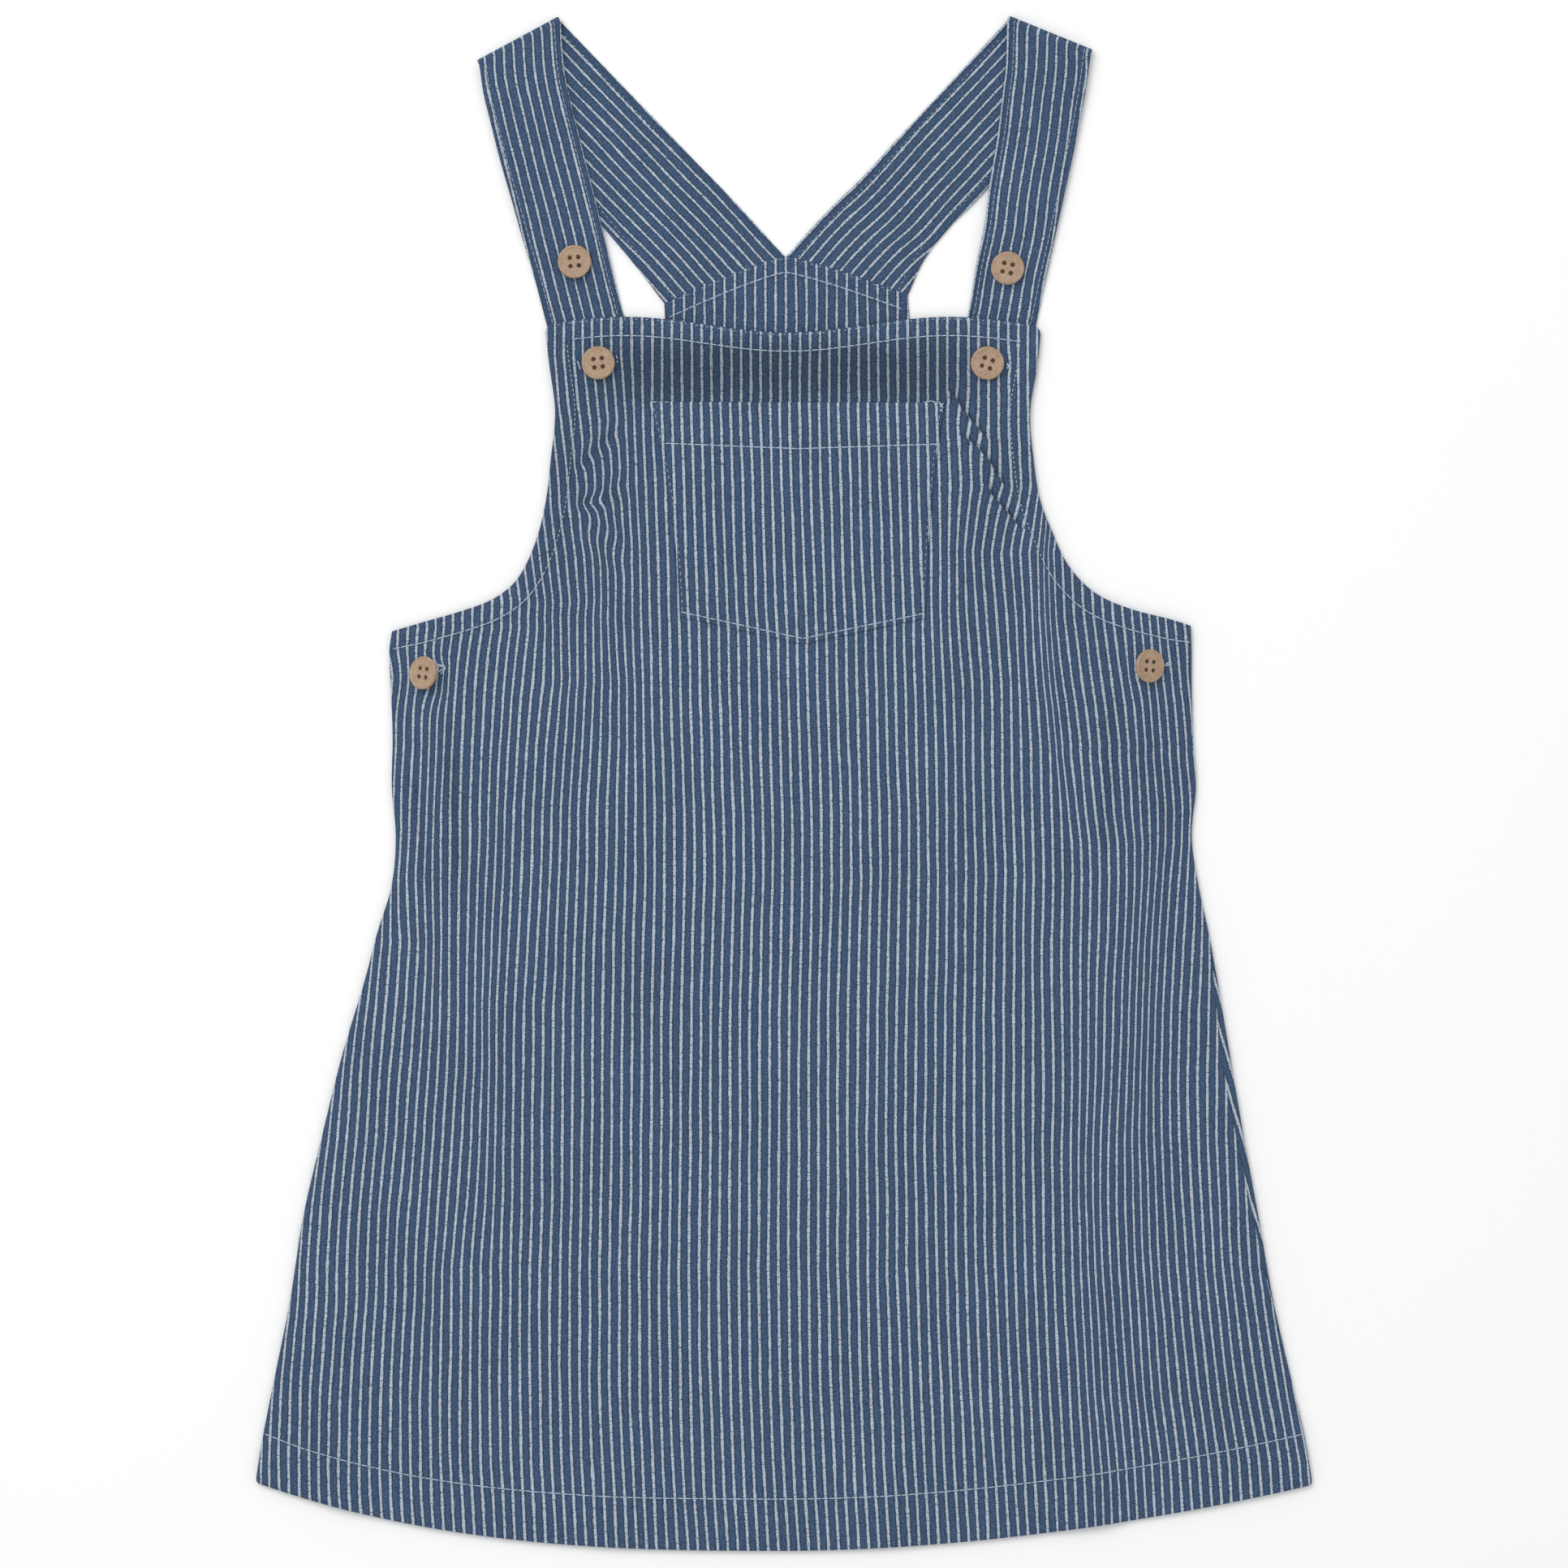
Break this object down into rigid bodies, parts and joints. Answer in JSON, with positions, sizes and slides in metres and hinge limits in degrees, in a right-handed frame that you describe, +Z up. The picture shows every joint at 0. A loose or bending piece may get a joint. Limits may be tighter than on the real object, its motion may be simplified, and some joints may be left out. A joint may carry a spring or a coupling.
{
  "type": "pinafore dress",
  "caption": "Flared sleeveless pinafore in striped denim, laid flat: bib with patch pocket, straps folded over at the shoulders and buttoned to the bib, side buttons.",
  "frame": {"origin": "middle of the dress's box, on the surface it lies on", "axes": "+X across the dress to the viewer's right, +Y from the hem to the straps, +Z up from the surface"},
  "size_m": [0.4752, 0.6899, 0.0137],
  "materials": {
    "denim": "matt yarn-dyed twill",
    "button": "satin"
  },
  "bodies": {
    "root": {"front_panel": "denim", "back_panel": "denim", "strap_left": "denim", "strap_right": "denim", "pocket": "denim", "button_strap_left": "button", "button_strap_right": "button", "button_bib_left": "button", "button_bib_right": "button", "button_side_left": "button", "button_side_right": "button"}
  },
  "joints": []
}
